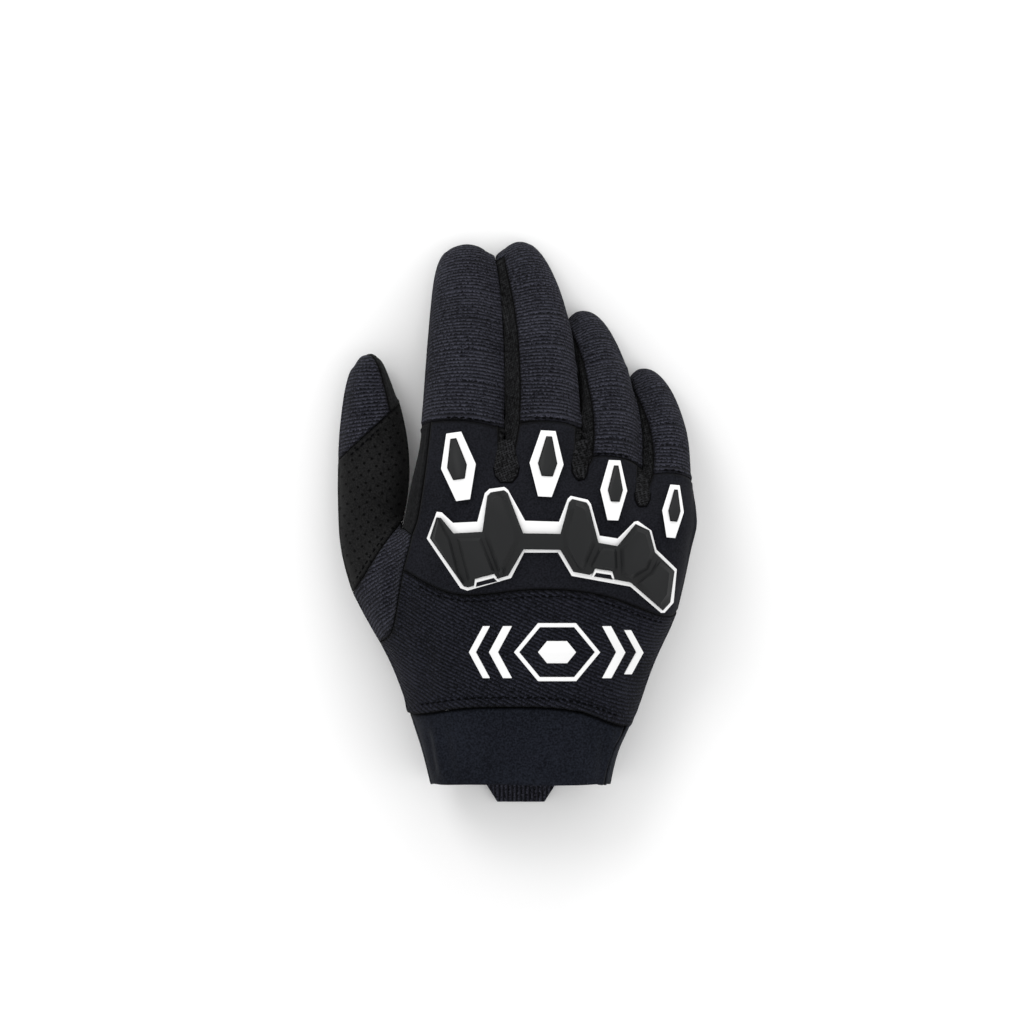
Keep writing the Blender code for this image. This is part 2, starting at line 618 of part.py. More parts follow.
def relief(faces, low, outline, facets):
    """A plate over an outline, low above the skin, with flat raised facets given by outline, draft and height."""
    lower, points, edges = offset_tree(faces, low)
    upper = offset_tree(faces, low + SHELL_PLATE)[0]
    raised = []
    for bottom, draft, height in facets:
        top = shrunk(bottom, draft)
        raised.append((bottom, top, flat_top(top, upper, height)))
    for loop in [outline, *(part for facet in raised for part in facet[:2])]:
        first = len(points)
        points += loop
        edges += [(first + k, first + (k + 1) % len(loop)) for k in range(len(loop))]
    plan, _, triangles, *_ = delaunay_2d_cdt(points, edges, [], 0, PLAN_MERGE)

    def top_height(place):
        ground = height_at(upper, place)
        for bottom, top, plane in raised:
            if is_inside(place, top) or distance_to(place, top) < PLAN_MERGE:
                return plane(place)
            if is_inside(place, bottom):
                to_top, to_bottom = distance_to(place, top), distance_to(place, bottom)
                return ground + (plane(place) - ground) * to_bottom / (to_top + to_bottom)
        return ground

    kept = [t for t in triangles if is_inside(sum((plan[k] for k in t), Vector((0, 0))) / 3, outline)]
    solid, highs, lows = bmesh.new(), {}, {}
    for k in sorted({k for t in kept for k in t}):
        place = plan[k]
        highs[k] = solid.verts.new((place.x, place.y, top_height(place)))
        lows[k] = solid.verts.new((place.x, place.y, height_at(lower, place)))
    sides = {(t[k - 1], t[k]) for t in kept for k in range(3)}
    for t in kept:
        solid.faces.new([highs[k] for k in t])
        solid.faces.new([lows[k] for k in reversed(t)])
    for a, b in sorted(sides):
        if (b, a) not in sides:
            solid.faces.new((lows[a], lows[b], highs[b]))
            solid.faces.new((lows[a], highs[b], highs[a]))
    bmesh.ops.recalc_face_normals(solid, faces=solid.faces)
    return solid


def patch(skin, outline, names, panels):
    """The skin's upper faces round an outline, on some panels."""
    xs, ys = [p.x for p in outline], [p.y for p in outline]
    found = []
    for face in skin.faces:
        middle = face.calc_center_median()
        inside = min(xs) - PATCH_MARGIN < middle.x < max(xs) + PATCH_MARGIN
        inside = inside and min(ys) - PATCH_MARGIN < middle.y < max(ys) + PATCH_MARGIN
        if inside and face.normal.z > PATCH_RISE and names[face.material_index] in panels:
            found.append(face)
    return found


def knuckle_guard(skin, names):
    """The white plate and the dark faceted shell on it."""
    middle = Vector((GUARD_ACROSS * HAND_WIDTH, GUARD_ALONG * HAND_LENGTH))
    width = HAND_WIDTH - GUARD_MARGIN

    def placed(shares):
        return [middle + Vector((a * width, b * GUARD_LENGTH)) for a, b in shares]

    faces = patch(skin, placed(PLATE_OUTLINE), names, ("knuckle_panel", "back_panel"))
    plate_top = SEAM + GUARD_PLATE
    plate = add_object("knuckle_guard_base", layer(faces, SEAM, plate_top, {}), WHITE, WHITE_ROUGHNESS)
    combine(plate, "INTERSECT", add_object("plate_cutter", prism(placed(PLATE_OUTLINE))))
    outline = shrunk(placed(SHELL_OUTLINE), -SHELL_REACH)
    facets = [(placed(f.outline), f.draft * FACET_DRAFT, f.height * FACET_HEIGHT) for f in FACETS]
    add_object("knuckle_guard_shell", relief(faces, plate_top + SEAM, outline, facets), RUBBER, RUBBER_ROUGHNESS)


def finger_guard(skin, names, finger, guard, root):
    """The white frame on a finger's root and the dark insert in it."""
    middle = Vector((root.x + guard.across * finger.width, root.y + guard.along * finger.prong))
    turn = math.radians(guard.turn)

    def placed(shares, lean=0.0):
        across = Vector((math.cos(turn), math.sin(turn))) * guard.width * finger.width / 2
        along = Vector((-math.sin(turn), math.cos(turn))) * guard.length * FRAME_LENGTH / 2
        return [middle + across * (a + lean) + along * b for a, b in shares]

    panels = ("knuckle_panel", finger.name + "_back")
    faces = patch(skin, placed(FRAME_OUTLINE), names, panels)
    solid = layer(faces, SEAM, SEAM + FRAME_HEIGHT, {})
    hole = placed(INSERT_OUTLINE, guard.lean)
    frame = add_object(f"guard_frame_{finger.name}", solid, WHITE, WHITE_ROUGHNESS)
    combine(frame, "INTERSECT", add_object(f"frame_cutter_{finger.name}", prism(placed(FRAME_OUTLINE))))
    combine(frame, "DIFFERENCE", add_object(f"frame_hole_{finger.name}", prism(hole)))
    solid = layer(faces, SEAM, SEAM + INSERT_HEIGHT, {})
    insert = add_object(f"guard_insert_{finger.name}", solid, RUBBER, RUBBER_ROUGHNESS)
    cutter = add_object(f"insert_cutter_{finger.name}", prism(shrunk(hole, SEAM)))
    combine(insert, "INTERSECT", cutter)


def pull_tab():
    """The tab sewn inside the cuff, past whose hem it shows."""
    middle = (CUFF_ROWS[0].left + CUFF_ROWS[0].right) / 2 * CUFF_WIDTH
    half, end = TAB_WIDTH / 2, TAB_END_WIDTH / 2
    corners = ((-half, TAB_HELD), (half, TAB_HELD), (half, 0), (end, -TAB_PROUD), (-end, -TAB_PROUD), (-half, 0))
    outline = [Vector((middle + x, y)) for x, y in corners]
    add_object("pull_tab", prism(outline, WALL + SEAM, WALL + SEAM + TAB_THICKNESS), KNIT)


def main():
    for old in list(bpy.data.objects):
        bpy.data.objects.remove(old)
    cage = Cage()
    rows = build_body(cage)
    roots = build_fingers(cage, rows[-1])
    build_thumb(cage, rows)
    skin, names = smooth_skin(cage)
    for number, name in enumerate(names):
        faces = [f for f in skin.faces if f.material_index == number]
        colour = MESH if name.startswith("fourchette") else PANEL_COLOURS.get(name, KNIT)
        add_object(name, layer(faces, -WALL, 0.0, rim_shifts(faces)), colour)
    pull_tab()
    knuckle_guard(skin, names)
    for finger, guard, root in zip(FINGERS, FINGER_GUARDS, roots, strict=True):
        finger_guard(skin, names, finger, guard, root)
    place_all(skin)


def place_all(skin):
    """Puts the middle of the whole glove's footprint at the origin."""
    xs, ys = [v.co.x for v in skin.verts], [v.co.y for v in skin.verts]
    skin.free()
    middle = bpy.data.objects.new("glove", None)
    bpy.context.scene.collection.objects.link(middle)
    for made in list(bpy.data.objects):
        if made is not middle:
            made.parent = middle
    middle.location = (-(min(xs) + max(xs)) / 2, -(max(ys) - TAB_PROUD) / 2, 0.0)


main()
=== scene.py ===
import math

import bmesh
import bpy
import numpy as np
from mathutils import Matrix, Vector, noise
from mathutils.bvhtree import BVHTree
from mathutils.kdtree import KDTree


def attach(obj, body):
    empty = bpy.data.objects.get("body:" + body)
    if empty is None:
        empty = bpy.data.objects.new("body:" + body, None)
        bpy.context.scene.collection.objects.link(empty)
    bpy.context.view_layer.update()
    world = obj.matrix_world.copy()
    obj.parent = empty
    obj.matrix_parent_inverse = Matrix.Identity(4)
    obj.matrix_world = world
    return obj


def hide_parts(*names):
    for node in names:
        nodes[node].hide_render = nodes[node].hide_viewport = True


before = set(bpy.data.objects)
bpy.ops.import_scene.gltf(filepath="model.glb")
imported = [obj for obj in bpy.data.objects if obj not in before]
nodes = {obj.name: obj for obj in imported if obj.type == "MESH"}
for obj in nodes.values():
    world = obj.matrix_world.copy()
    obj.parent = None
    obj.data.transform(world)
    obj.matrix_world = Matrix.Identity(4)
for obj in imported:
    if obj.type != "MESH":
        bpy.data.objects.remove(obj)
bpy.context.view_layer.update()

# A right-hand motocross glove. The sewn panels are smoothed copies of the frame's solids, with seam ridges, a
# lapped hem and folds worked into their meshes. The rubber guards are modelled over the frame's guards.

scene = bpy.context.scene

# the camera above the floor, in metres, with its lens and sensor in mm, and the picture's side in pixels
view = {"middle": (-0.0018, 0.0035), "distance": 3.0, "lens": 283.5, "sensor": 36.0, "picture": 1024}
pixel = view["distance"] * view["sensor"] / view["lens"] / view["picture"]  # metres on the floor

# what a copy of a solid is merged and joined with, and how near a vertex is to be at a corner
copying = {"merge": 2e-5, "quads": math.radians(70), "atCorner": 1e-5}


# helpers

def planPlace(px, py):
    # the place on the floor that the camera sees at a pixel
    half = view["picture"] / 2
    return Vector((view["middle"][0] + (px - half) * pixel, view["middle"][1] - (py - half) * pixel))


def deselect():
    if bpy.context.object and bpy.context.object.mode != "OBJECT":
        bpy.ops.object.mode_set(mode="OBJECT")
    bpy.ops.object.select_all(action="DESELECT")


def pick(piece):
    deselect()
    piece.select_set(True)
    bpy.context.view_layer.objects.active = piece


def applyAll(piece):
    pick(piece)
    for modifier in list(piece.modifiers):
        bpy.ops.object.modifier_apply(modifier=modifier.name)


def readPoints(mesh):
    flat = np.empty(len(mesh.vertices) * 3)
    mesh.vertices.foreach_get("co", flat)
    return flat.reshape(-1, 3)


def readNormals(mesh):
    flat = np.empty(len(mesh.vertices) * 3)
    mesh.vertex_normals.foreach_get("vector", flat)
    return flat.reshape(-1, 3)


def writePoints(mesh, points):
    mesh.vertices.foreach_set("co", points.ravel())
    mesh.update()


def pointTree(points):
    tree = KDTree(len(points))
    for k, p in enumerate(points):
        tree.insert(p, k)
    tree.balance()
    return tree


def cornerPoints(names):
    # corners where three or more panels meet, from the frame's own vertices
    trees, points = {}, {}
    for name in names:
        points[name] = np.unique(np.round(readPoints(nodes[name].data), 6), axis=0)
        trees[name] = pointTree(points[name])
    found = []
    for name in names:
        for p in points[name]:
            if sum(trees[other].find(p)[2] < knit["cornerReach"] for other in names if other != name) >= 2:
                found.append(p)
    return pointTree(found)


def smoothCopy(name, corners):
    # the solid's loose triangles, merged, joined into quads again and smoothed. Rims and corners stay sharp
    piece = bpy.data.objects.new(name + "_sewn", nodes[name].data.copy())
    scene.collection.objects.link(piece)
    piece.data.materials.clear()
    pick(piece)
    bpy.ops.object.mode_set(mode="EDIT")
    bpy.ops.mesh.select_all(action="SELECT")
    bpy.ops.mesh.remove_doubles(threshold=copying["merge"])
    bpy.ops.mesh.tris_convert_to_quads(face_threshold=copying["quads"], shape_threshold=copying["quads"])
    bpy.ops.object.mode_set(mode="OBJECT")
    bm = bmesh.new()
    bm.from_mesh(piece.data)
    cornerCrease = bm.verts.layers.float.new("crease_vert")
    rimCrease = bm.edges.layers.float.new("crease_edge")
    for v in bm.verts:
        v[cornerCrease] = float(corners.find(v.co)[2] < copying["atCorner"])
    for edge in bm.edges:
        edge[rimCrease] = float(edge.calc_face_angle(0.0) > knit["rimAngle"])
    bm.to_mesh(piece.data)
    bm.free()
    smooth = piece.modifiers.new("smooth", "SUBSURF")
    smooth.levels = smooth.render_levels = knit["levels"]
    applyAll(piece)
    bpy.ops.object.shade_smooth_by_angle(angle=knit["rimAngle"])
    return piece


def finish(piece, material, slotName, *nodeNames):
    piece.data.materials.clear()
    piece.data.materials.append(material)
    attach(piece, "root")
    if nodeNames:
        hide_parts(*nodeNames)
    return piece


def newGroup(name, inputs, outputs):
    group = bpy.data.node_groups.new(name, "ShaderNodeTree")
    for label, kind, value in inputs:
        made = group.interface.new_socket(label, in_out="INPUT", socket_type=kind)
        if value is not None:
            made.default_value = value
    for label, kind in outputs:
        group.interface.new_socket(label, in_out="OUTPUT", socket_type=kind)
    return group, group.nodes.new("NodeGroupInput"), group.nodes.new("NodeGroupOutput")


def mathNode(tree, operation, *values):
    made = tree.nodes.new("ShaderNodeMath")
    made.operation = operation
    for socket, value in zip(made.inputs, values):
        if hasattr(value, "links"):
            tree.links.new(value, socket)
        else:
            socket.default_value = value
    return made.outputs[0]


# materials

# fabrics: detail and strength of the weave's grain and of the soft mottling, shine and the grain's bump
weave = {"grainDetail": 2.0, "grainGain": 3.0, "mottleDetail": 4.0, "mottleGain": 0.8, "specular": 0.06,
         "bump": 0.6}


def clothGroup():
    # a fabric's weave height, soft mottling and the speckle of both, from Object coordinates
    group, given, out = newGroup("clothFinish", [
        ("Grain", "NodeSocketFloat", 2600.0), ("Mottle", "NodeSocketFloat", 60.0),
    ], [("Height", "NodeSocketFloat"), ("Mottling", "NodeSocketFloat"), ("Speckle", "NodeSocketFloat")])
    place = group.nodes.new("ShaderNodeTexCoord")
    grain = group.nodes.new("ShaderNodeTexNoise")
    group.links.new(place.outputs["Object"], grain.inputs["Vector"])
    group.links.new(given.outputs["Grain"], grain.inputs["Scale"])
    grain.inputs["Detail"].default_value = weave["grainDetail"]
    mottle = group.nodes.new("ShaderNodeTexNoise")
    group.links.new(place.outputs["Object"], mottle.inputs["Vector"])
    group.links.new(given.outputs["Mottle"], mottle.inputs["Scale"])
    mottle.inputs["Detail"].default_value = weave["mottleDetail"]
    group.links.new(grain.outputs["Fac"], out.inputs["Height"])
    group.links.new(mottle.outputs["Fac"], out.inputs["Mottling"])
    fine = mathNode(group, "SUBTRACT", grain.outputs["Fac"], 0.5)
    fine = mathNode(group, "MULTIPLY", fine, weave["grainGain"])
    soft = mathNode(group, "SUBTRACT", mottle.outputs["Fac"], 0.5)
    soft = mathNode(group, "MULTIPLY", soft, weave["mottleGain"])
    speckle = mathNode(group, "ADD", mathNode(group, "ADD", fine, soft), 0.5)
    group.links.new(speckle, out.inputs["Speckle"])
    return group


# ribs: sharpness, how far the weave's grain shifts them, their bump's depth in metres, the colour of the
# painted shade in a groove and that of the painted shade along a seam
ribbing = {"power": 1.3, "wobble": 1.0, "depth": 0.0005, "grooveShade": (0.12, 0.12, 0.12),
           "seam": (0.15, 0.15, 0.15)}


def ribGroup():
    # a rib's height and how deep in a groove a place lies, where shade is painted, from a count of ribs kept
    # on the mesh
    group, given, out = newGroup("ribs", [
        ("Count", "NodeSocketFloat", 0.0), ("Wobble", "NodeSocketFloat", 0.0),
    ], [("Height", "NodeSocketFloat"), ("Groove", "NodeSocketFloat")])
    total = mathNode(group, "ADD", given.outputs["Count"], given.outputs["Wobble"])
    turn = mathNode(group, "MULTIPLY", total, math.pi)
    wave = mathNode(group, "ABSOLUTE", mathNode(group, "SINE", turn))
    height = mathNode(group, "POWER", wave, ribbing["power"])
    group.links.new(height, out.inputs["Height"])
    group.links.new(mathNode(group, "SUBTRACT", 1.0, height), out.inputs["Groove"])
    return group


clothFinish = clothGroup()
ribs = ribGroup()


def placeGroup(material, group, **values):
    made = material.node_tree.nodes.new("ShaderNodeGroup")
    made.node_tree = group
    for name, value in values.items():
        made.inputs[name].default_value = value
    return made


def colourMix(material, factor, first, second, blend="MIX"):
    # mixes two colours, each a linked one or three numbers
    made = material.node_tree.nodes.new("ShaderNodeMix")
    made.data_type, made.blend_type = "RGBA", blend
    material.node_tree.links.new(factor, made.inputs[0])
    for socket, value in ((made.inputs[6], first), (made.inputs[7], second)):
        if isinstance(value, tuple):
            socket.default_value = (*value, 1.0)
        else:
            material.node_tree.links.new(value, socket)
    return made.outputs[2]


def bumpNode(material, height, strength, distance, normal=None):
    made = material.node_tree.nodes.new("ShaderNodeBump")
    made.inputs["Strength"].default_value = strength
    made.inputs["Distance"].default_value = distance
    material.node_tree.links.new(height, made.inputs["Height"])
    if normal is not None:
        material.node_tree.links.new(normal, made.inputs["Normal"])
    return made.outputs["Normal"]


def newMaterial(name, roughness, sheen=0.0, specular=0.5):
    material = bpy.data.materials.new(name)
    material.use_nodes = True
    shader = material.node_tree.nodes["Principled BSDF"]
    shader.inputs["Roughness"].default_value = roughness
    shader.inputs["Sheen Weight"].default_value = sheen
    shader.inputs["Sheen Roughness"].default_value = 0.5
    shader.inputs["Specular IOR Level"].default_value = specular
    return material, shader


def paintSeamShade(material, colour):
    # paints shade along the seams: darkens a colour by how near the mesh says they are
    near = material.node_tree.nodes.new("ShaderNodeAttribute")
    near.attribute_name = "seamShade"
    return colourMix(material, near.outputs["Fac"], colour, ribbing["seam"], "MULTIPLY")


def fabricMaterial(name, dark, light, roughness, ribbed, grain=2600.0, sheen=0.02, bumpDepth=0.00008):
    material, shader = newMaterial(name, roughness, sheen, weave["specular"])
    tree = material.node_tree
    cloth = placeGroup(material, clothFinish, Grain=grain)
    colour = colourMix(material, cloth.outputs["Speckle"], dark, light)
    normal = bumpNode(material, cloth.outputs["Height"], weave["bump"], bumpDepth)
    if ribbed:
        count = tree.nodes.new("ShaderNodeAttribute")
        count.attribute_name = "ribCount"
        rib = placeGroup(material, ribs)
        tree.links.new(count.outputs["Fac"], rib.inputs["Count"])
        jagged = mathNode(tree, "SUBTRACT", cloth.outputs["Height"], 0.5)
        tree.links.new(mathNode(tree, "MULTIPLY", jagged, ribbing["wobble"]), rib.inputs["Wobble"])
        normal = bumpNode(material, rib.outputs["Height"], 1.0, ribbing["depth"], normal)
        # painted shade: the grooves between the ribs are darkened
        colour = colourMix(material, rib.outputs["Groove"], colour, ribbing["grooveShade"], "MULTIPLY")
    # painted shade: the colour darkens along the seams
    tree.links.new(paintSeamShade(material, colour), shader.inputs["Base Color"])
    tree.links.new(normal, shader.inputs["Normal"])
    return material


# cloth with dots: sheen, bump and depth of its grain in metres, and how hard a dot's edge is
dotting = {"sheen": 0.02, "bump": 0.7, "grainDepth": 0.0001, "edge": 20.0}


def dotGroup():
    # rows of round dots, every second row moved by half a pitch
    group, given, out = newGroup("dots", [
        ("Vector", "NodeSocketVector", None),
        ("Pitch", "NodeSocketFloat", 0.0033), ("Radius", "NodeSocketFloat", 0.22),
    ], [("Dot", "NodeSocketFloat")])
    split = group.nodes.new("ShaderNodeSeparateXYZ")
    group.links.new(given.outputs["Vector"], split.inputs[0])
    u = mathNode(group, "DIVIDE", split.outputs[0], given.outputs["Pitch"])
    v = mathNode(group, "DIVIDE", split.outputs[1], given.outputs["Pitch"])
    a, b = mathNode(group, "ADD", u, v), mathNode(group, "SUBTRACT", u, v)
    distances = []
    for value in (a, b):
        part = mathNode(group, "SUBTRACT", mathNode(group, "FRACT", value), 0.5)
        distances.append(mathNode(group, "MULTIPLY", part, part))
    far = mathNode(group, "SQRT", mathNode(group, "ADD", *distances))
    inside = mathNode(group, "SUBTRACT", given.outputs["Radius"], far)
    clamp = group.nodes.new("ShaderNodeClamp")
    group.links.new(mathNode(group, "MULTIPLY", inside, dotting["edge"]), clamp.inputs["Value"])
    group.links.new(clamp.outputs[0], out.inputs["Dot"])
    return group


dots = dotGroup()


def dottedMaterial(name, dark, light, holeColour, pitch, radius, depth, turn, roughness=0.85, grain=1800.0):
    material, shader = newMaterial(name, roughness, dotting["sheen"], weave["specular"])
    tree = material.node_tree
    cloth = placeGroup(material, clothFinish, Grain=grain)
    colour = colourMix(material, cloth.outputs["Speckle"], dark, light)
    place = tree.nodes.new("ShaderNodeTexCoord")
    mapping = tree.nodes.new("ShaderNodeMapping")
    mapping.inputs["Rotation"].default_value = turn
    tree.links.new(place.outputs["Object"], mapping.inputs["Vector"])
    dot = placeGroup(material, dots, Pitch=pitch, Radius=radius)
    tree.links.new(mapping.outputs[0], dot.inputs["Vector"])
    colour = colourMix(material, dot.outputs["Dot"], colour, holeColour)
    normal = bumpNode(material, cloth.outputs["Height"], dotting["bump"], dotting["grainDepth"])
    sunk = mathNode(tree, "SUBTRACT", 1.0, dot.outputs["Dot"])
    normal = bumpNode(material, sunk, 1.0, depth, normal)
    # painted shade: the colour darkens along the seams
    tree.links.new(paintSeamShade(material, colour), shader.inputs["Base Color"])
    tree.links.new(normal, shader.inputs["Normal"])
    return material


# rubber: shine, its mottling's scale and its grain's bump
rubbery = {"specular": 0.14, "mottle": 35.0, "bump": 0.5}


def rubberMaterial(name, colour, second, roughness, grain, depth):
    material, shader = newMaterial(name, roughness, 0.0, rubbery["specular"])
    tree = material.node_tree
    cloth = placeGroup(material, clothFinish, Grain=grain, Mottle=rubbery["mottle"])
    mottled = colourMix(material, cloth.outputs["Mottling"], colour, second)
    tree.links.new(mottled, shader.inputs["Base Color"])
    normal = bumpNode(material, cloth.outputs["Height"], rubbery["bump"], depth)
    tree.links.new(normal, shader.inputs["Normal"])
    return material


# each fabric's darkest and lightest colour, roughness, ribs, grain to a metre, sheen and weave depth
ribKnit = fabricMaterial("ribKnit", (0.0076, 0.0078, 0.0116), (0.0545, 0.0556, 0.0750), 0.9, True, 1500.0)
# the same rib knit, made darker on the back panel: painted shade
shadedBackKnit = fabricMaterial("shadedBackKnit", (0.0040, 0.0043, 0.0070), (0.0265, 0.0277, 0.0405), 0.9, True, 1500.0)
stretchCloth = fabricMaterial("stretchCloth", (0.0046, 0.0048, 0.0066), (0.0122, 0.0128, 0.0172), 0.88, False,
                              1500.0)
cuffCloth = fabricMaterial("cuffCloth", (0.0030, 0.0036, 0.0060), (0.0118, 0.0138, 0.0205), 0.85, False,
                           1400.0)
suede = fabricMaterial("suede", (0.0050, 0.0051, 0.0055), (0.0190, 0.0192, 0.0200), 0.95, False, 1200.0, 0.03,
                       0.00015)
# the suede again, made darker on the palm: painted shade on its sides, which face away from the light
shadedPalmSuede = fabricMaterial("shadedPalmSuede", (0.0026, 0.0027, 0.0031), (0.0100, 0.0103, 0.0113), 0.95, False,
                           1200.0, 0.02, 0.00015)
# dark thread for the stitches; the same dark colour paints the shade round the mesh ends
darkThreadAndShade = fabricMaterial("darkThreadAndShade", (0.0003, 0.0003, 0.0005), (0.0015, 0.0015, 0.0022), 0.9, False,
                            4000.0, 0.0)

# each fabric with dots: colours, the dots' colour, pitch in metres, radius as a share of it, depth and turn
holedSuede = dottedMaterial("holedSuede", (0.0040, 0.0040, 0.0041), (0.0150, 0.0150, 0.0152),
                            (0.0008, 0.0008, 0.0008), 0.0046, 0.18, 0.0008, (0.0, 0.0, 0.25))
airMesh = dottedMaterial("airMesh", (0.0004, 0.0004, 0.0005), (0.0230, 0.0235, 0.0255),
                         (0.0008, 0.0008, 0.0008), 0.0013, 0.30, 0.0004, (0.0, 0.5, 0.3), 0.85, 1000.0)

# each rubber's two mottled colours, roughness, grain to a metre and grain depth
darkRubber = rubberMaterial("darkRubber", (0.0130, 0.0136, 0.0142), (0.0165, 0.0171, 0.0178), 0.42, 3000.0,
                            2e-5)
whiteRubber = rubberMaterial("whiteRubber", (0.86, 0.86, 0.86), (0.91, 0.91, 0.91), 0.42, 2500.0, 2e-5)

# sewn panels

# centre lines of the fingers and the thumb, root to tip, in mm
fingerLines = {
    "index": ((-20.9, 12.6, 37.5), (-20.3, 24.5, 35.9), (-19.7, 36.4, 33.6), (-19.1, 48.2, 30.4),
              (-18.8, 59.7, 26.5), (-18.5, 70.9, 21.8), (-18.5, 81.7, 16.5), (-18.7, 92.1, 10.4),
              (-19.2, 101.8, 3.9)),
    "middle": ((8.7, 11.7, 39.0), (9.3, 24.2, 37.3), (9.7, 36.6, 34.6), (9.8, 48.8, 31.1), (9.2, 60.7, 26.8),
               (8.0, 72.2, 21.7), (6.0, 83.3, 15.9), (3.1, 93.6, 9.3), (-0.7, 102.9, 2.2)),
    "ring": ((33.6, 7.6, 36.5), (34.2, 17.7, 34.9), (34.6, 27.6, 32.3), (34.5, 37.1, 28.9),
             (33.7, 46.3, 24.8), (32.2, 55.0, 20.0), (29.7, 63.0, 14.4), (26.3, 70.1, 8.3),
             (22.1, 75.8, 1.6)),
    "little": ((54.7, 1.6, 32.0), (55.2, 9.6, 30.5), (55.5, 17.4, 28.3), (55.4, 24.9, 25.3),
               (54.7, 32.1, 21.6), (53.3, 38.7, 17.4), (51.2, 44.8, 12.5), (48.4, 49.9, 7.2),
               (45.1, 54.0, 1.4)),
    "thumb": ((-52.9, -13.9, 16.8), (-53.1, 1.5, 15.0), (-52.6, 16.5, 13.8), (-54.9, 33.2, 12.5),
              (-56.1, 48.2, 11.1), (-56.1, 59.3, 9.9), (-56.2, 65.4, 9.3)),
}

# the sewn panels. Ribs: pitch. Shape: how often it is smoothed, the angle of a rim and how near another panel
# a corner is. Seams: a ridge beside them, its place and width, the reach to the next panel, the gap left, the
# width of the painted shade along them and the margin round a panel that is searched. Surface: unevenness,
# its size and how far it stays off a seam. Near the floor nothing moves, and folds lie where the surface
# looks up and fade at both ends. Ribs are counted on past a finger's ends, by so many lengths of its last
# stretch
knit = {"pitch": 0.00135, "levels": 3, "rimAngle": math.radians(60), "cornerReach": 0.0007,
        "ridge": 0.00045, "ridgeFrom": 0.0013, "ridgeWidth": 0.0008,
        "seamReach": 0.0005, "seamGap": 0.00030, "seamShade": 0.00045, "margin": 0.001, "runOn": 20.0,
        "unevenness": 0.0006, "unevenSize": 0.016, "unevenFrom": 0.004,
        "floorHeight": 0.0015, "foldUp": 0.2, "foldEnd": 0.2, "firstRib": 200.0}

# neighbouring fingers bulge towards each other until they nearly touch: the widest gap that closes and the
# widest that only narrows, the gap left, which vertices are tried, and the reach of a finger, of its root, of
# a wall and of the moves that are blended. A side is where the way outwards is level enough
meeting = {"closed": 0.0034, "widest": 0.0060, "gap": 0.0002, "step": 3, "finger": 0.03, "root": 0.003,
           "start": 0.0001, "wall": 0.003, "blend": 0.004, "blended": 8, "levelFrom": 0.3, "levelOver": 0.4}

# the back panel's hem laps over the cuff: rise at the hem and how far up or down the panel it fades. Outwards
# is away from the wrist's middle
hem = {"rise": {"back_panel": (0.0008, 0.007), "cuff_back": (-0.0006, 0.004)}, "middle": 0.018, "squash": 0.5}

# soft folds: both ends in the picture's pixels, width and rise
folds = {
    "cuff_back": (
        ((427, 724), (437, 776), 0.0012, -0.0007), ((435, 722), (445, 778), 0.0013, 0.0006),
        ((444, 720), (454, 778), 0.0014, -0.0006), ((456, 722), (464, 776), 0.0020, 0.0004),
        ((604, 716), (598, 778), 0.0014, -0.0005), ((612, 722), (606, 776), 0.0012, 0.0004),
    ),
    "back_panel": (
        ((430, 625), (424, 706), 0.0030, -0.0006), ((447, 640), (441, 706), 0.0030, 0.0004),
        ((640, 640), (628, 700), 0.0030, -0.0005), ((470, 612), (560, 600), 0.0030, -0.0003),
    ),
    "thumb_gusset": (((396, 560), (392, 625), 0.0018, -0.0008), ((385, 575), (381, 612), 0.0018, 0.0005)),
    "index_back": (((434, 365), (502, 352), 0.0020, -0.0004), ((436, 300), (500, 292), 0.0020, -0.0003)),
    "middle_back": (((520, 350), (572, 338), 0.0020, -0.0004), ((512, 296), (556, 286), 0.0020, -0.0003)),
    "ring_back": (((580, 372), (630, 350), 0.0022, -0.0007), ((588, 384), (636, 366), 0.0020, 0.0004)),
    "little_back": (((646, 410), (680, 396), 0.0020, -0.0004),),
    "thumb_overlay": (((352, 470), (398, 452), 0.0025, -0.0004), ((356, 560), (392, 520), 0.0030, -0.0005)),
}

# which material and slot each panel has, and which way its ribs run: a finger's name, or a direction that the
# ribs are counted along
panels = {
    "index_back": (ribKnit, "rib_knit", "index"),
    "middle_back": (ribKnit, "rib_knit", "middle"),
    "ring_back": (ribKnit, "rib_knit", "ring"),
    "little_back": (ribKnit, "rib_knit", "little"),
    "thumb_back": (ribKnit, "rib_knit", "thumb"),
    "back_panel": (shadedBackKnit, "rib_knit", (0.42, 0.88, 0.22)),
    "thumb_gusset": (ribKnit, "rib_knit", (-0.30, 0.90, -0.3)),
    "knuckle_panel": (stretchCloth, "stretch_cloth", None),
    "cuff_back": (cuffCloth, "stretch_cloth", None),
    "cuff_palm": (cuffCloth, "stretch_cloth", None),
    "palm": (shadedPalmSuede, "suede", None),
    "thumb_pad": (suede, "suede", None),
    "thumb_overlay": (holedSuede, "perforated_suede", None),
    "fourchette_index_middle": (airMesh, "mesh", None),
    "fourchette_middle_ring": (airMesh, "mesh", None),
    "fourchette_ring_little": (airMesh, "mesh", None),
}


def nearestOnLine(points, line, runsOn):
    # the nearest place on a line for each point, its distance, and how far along the line it lies. The line
    # may run on past its ends
    line = np.array(line) / 1000
    along, best = 0.0, np.full(len(points), 1e9)
    places, lengths = np.zeros_like(points), np.zeros(len(points))
    for k in range(len(line) - 1):
        a, b = line[k], line[k + 1]
        length = np.linalg.norm(b - a)
        low = -knit["runOn"] if runsOn and k == 0 else 0.0
        high = knit["runOn"] if runsOn and k == len(line) - 2 else 1.0
        t = np.clip((points - a) @ (b - a) / length**2, low, high)
        nearest = a + t[:, None] * (b - a)
        far = np.linalg.norm(points - nearest, axis=1)
        nearer = far < best
        best[nearer], places[nearer] = far[nearer], nearest[nearer]
        lengths[nearer] = along + t[nearer] * length
        along += length
    return places, best, lengths


